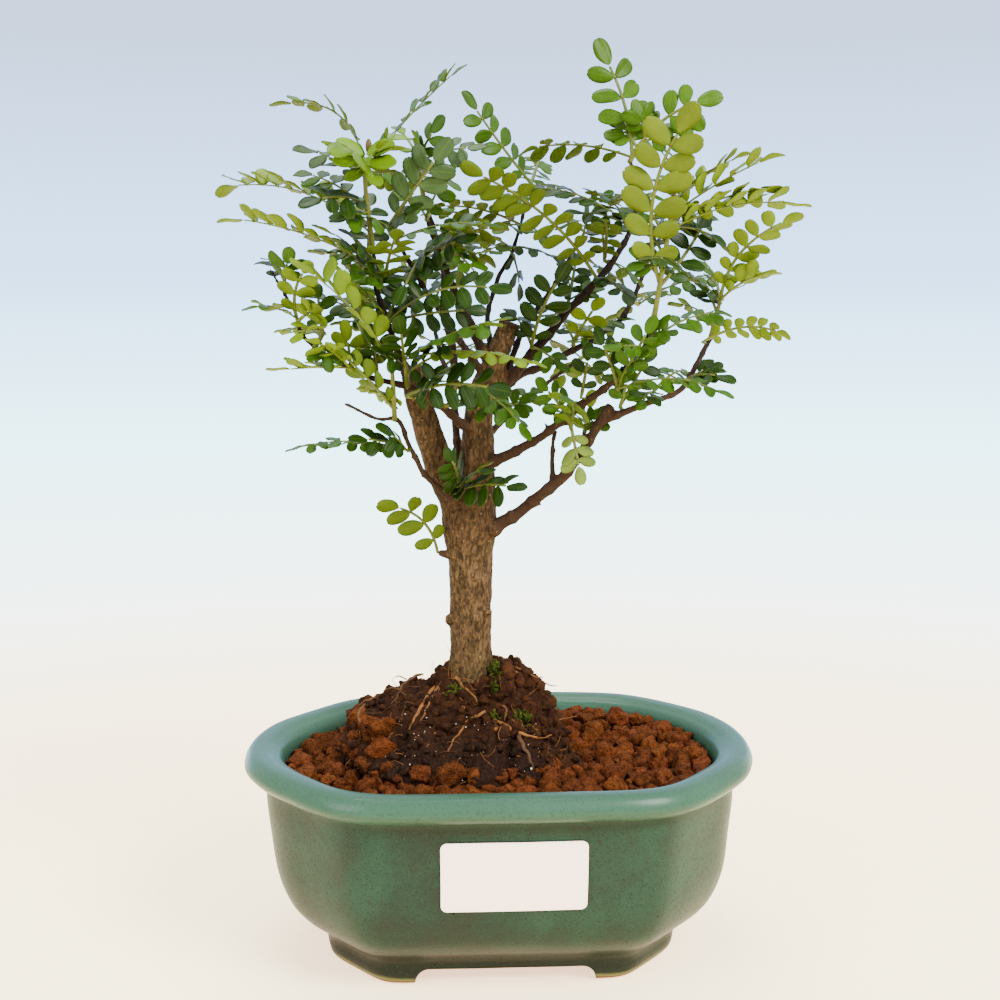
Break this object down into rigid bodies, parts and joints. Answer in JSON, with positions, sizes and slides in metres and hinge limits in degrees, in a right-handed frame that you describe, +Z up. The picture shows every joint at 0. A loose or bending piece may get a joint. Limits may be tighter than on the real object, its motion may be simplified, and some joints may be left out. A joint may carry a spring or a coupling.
{
  "type": "japanese pepper bonsai",
  "caption": "Small pinnate-leaved bonsai tree with a sawn trunk and spreading crown, in a low rounded eight-sided glazed pot on corner feet with coarse soil.",
  "frame": {"origin": "middle of the pot's footprint, on the surface it stands on", "axes": "+X to the right along the pot's long side, +Y to the back away from the labelled front, +Z up the trunk"},
  "size_m": [0.1511, 0.1166, 0.2446],
  "materials": {
    "glaze": "satin jade green glaze, bare clay feet",
    "card": "smooth blank white label",
    "grit": "dry red-brown porous granules",
    "root_soil": "dark fibrous root ball with moss flecks",
    "bark": "rough grey-brown bark with pale pores",
    "leaf": "soft sheen green leaflets"
  },
  "bodies": {
    "root": {"pot": "glaze", "blank_label": "card", "soil": "grit", "root_ball": "root_soil", "trunk_and_branches": "bark", "spray_01": "leaf", "spray_02": "leaf", "spray_03": "leaf", "spray_04": "leaf", "spray_05": "leaf", "spray_06": "leaf", "spray_07": "leaf", "spray_08": "leaf", "spray_09": "leaf", "spray_10": "leaf", "spray_11": "leaf", "spray_12": "leaf", "spray_13": "leaf", "spray_14": "leaf", "spray_15": "leaf", "spray_16": "leaf", "spray_17": "leaf", "spray_18": "leaf", "spray_19": "leaf", "spray_20": "leaf", "spray_21": "leaf", "spray_22": "leaf", "spray_23": "leaf", "spray_24": "leaf", "spray_25": "leaf", "spray_26": "leaf", "spray_27": "leaf", "spray_28": "leaf", "spray_29": "leaf", "spray_30": "leaf", "spray_31": "leaf", "spray_32": "leaf", "spray_33": "leaf", "spray_34": "leaf", "spray_35": "leaf", "spray_36": "leaf", "spray_37": "leaf", "spray_38": "leaf", "spray_39": "leaf", "spray_40": "leaf", "spray_41": "leaf", "spray_42": "leaf", "spray_43": "leaf", "spray_44": "leaf", "spray_45": "leaf", "spray_46": "leaf", "spray_47": "leaf", "spray_48": "leaf", "spray_49": "leaf", "spray_50": "leaf", "spray_51": "leaf", "spray_52": "leaf", "spray_53": "leaf"}
  },
  "joints": []
}
